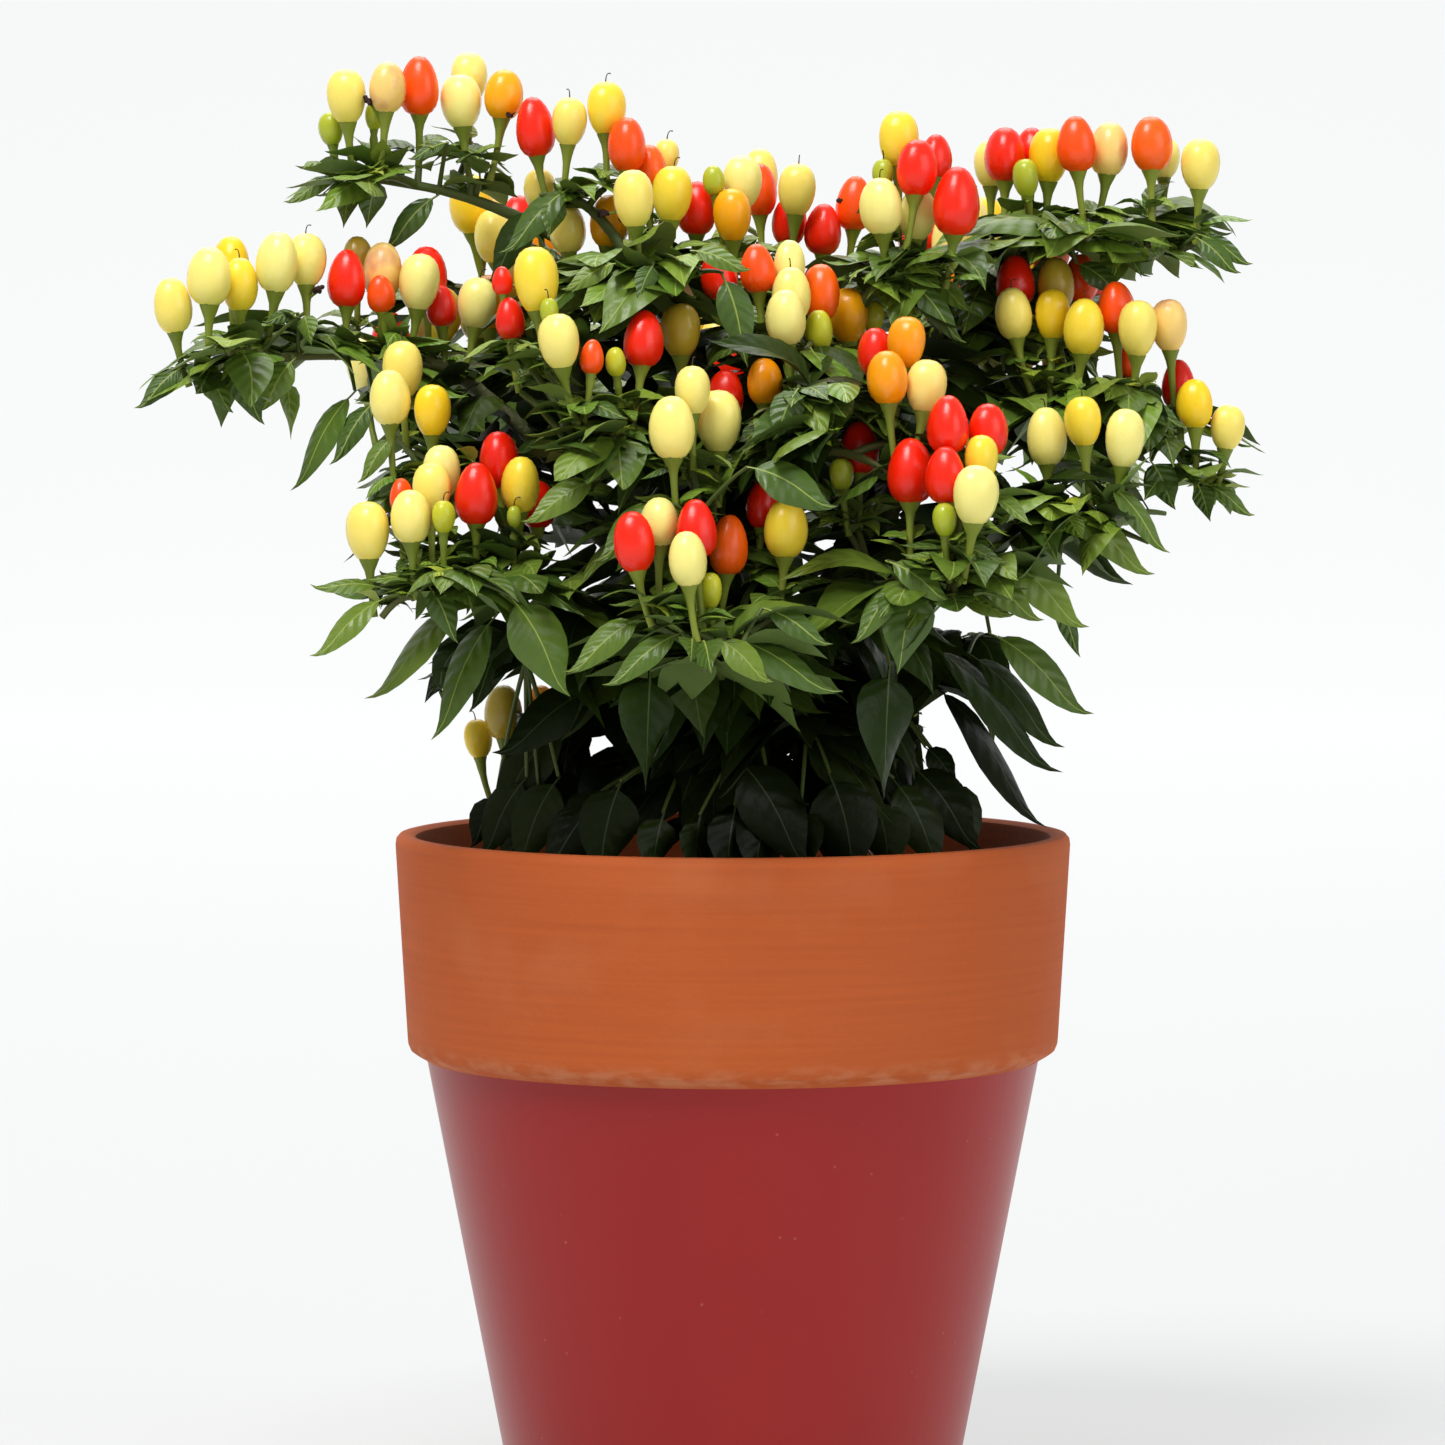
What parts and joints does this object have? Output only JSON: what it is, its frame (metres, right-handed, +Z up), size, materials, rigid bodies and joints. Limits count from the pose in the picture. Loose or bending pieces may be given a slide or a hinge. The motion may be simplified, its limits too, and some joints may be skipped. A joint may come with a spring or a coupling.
{
  "type": "potted ornamental chilli pepper plant",
  "caption": "Bushy ornamental chilli plant with upright egg-shaped peppers and pointed leaves, growing in a banded clay pot with a red painted body.",
  "frame": {"origin": "centre of the pot's flat underside", "axes": "+Z up along the pot's axis; the picture's view looks along +Y, with its right as +X"},
  "size_m": [0.2796, 0.2661, 0.3634],
  "materials": {
    "terracotta": "unglazed fired clay, matt, with faint throwing lines",
    "red_paint": "dark red paint, semi-gloss, on the pot below its band",
    "compost": "damp dark potting compost",
    "bark": "green-brown ribbed stem, woody at the foot",
    "foliage": "satin green leaves and cream, yellow, orange and red peppers"
  },
  "bodies": {
    "root": {"bough_back": "bark", "bough_back_left": "bark", "bough_back_low": "bark", "bough_back_right": "bark", "bough_crown": "bark", "bough_crown_front": "bark", "bough_crown_left": "bark", "bough_crown_right": "bark", "bough_front": "bark", "bough_front_low": "bark", "bough_front_right": "bark", "bough_left": "bark", "bough_low_left": "bark", "bough_low_right": "bark", "bough_outer_left": "bark", "bough_outer_right": "bark", "bough_right": "bark", "bough_upper_left": "bark", "bough_upper_right": "bark", "compost": "compost", "foliage_back_left": "foliage", "foliage_back_low": "foliage", "foliage_back_middle": "foliage", "foliage_back_right": "foliage", "foliage_back_top_left": "foliage", "foliage_back_top_right": "foliage", "foliage_centre": "foliage", "foliage_centre_high": "foliage", "foliage_centre_left": "foliage", "foliage_centre_right": "foliage", "foliage_crown_back": "foliage", "foliage_crown_far_left": "foliage", "foliage_crown_left": "foliage", "foliage_crown_middle": "foliage", "foliage_crown_right": "foliage", "foliage_front_low": "foliage", "foliage_front_right": "foliage", "foliage_left": "foliage", "foliage_left_low": "foliage", "foliage_left_middle": "foliage", "foliage_right_back": "foliage", "foliage_right_low": "foliage", "foliage_right_middle": "foliage", "foliage_skirt_back_left": "foliage", "foliage_skirt_back_right": "foliage", "foliage_skirt_front": "foliage", "foliage_skirt_left": "foliage", "foliage_skirt_right": "foliage", "foliage_top_left": "foliage", "foliage_upper_right": "foliage", "pot": "terracotta", "trunk": "bark"}
  },
  "joints": []
}
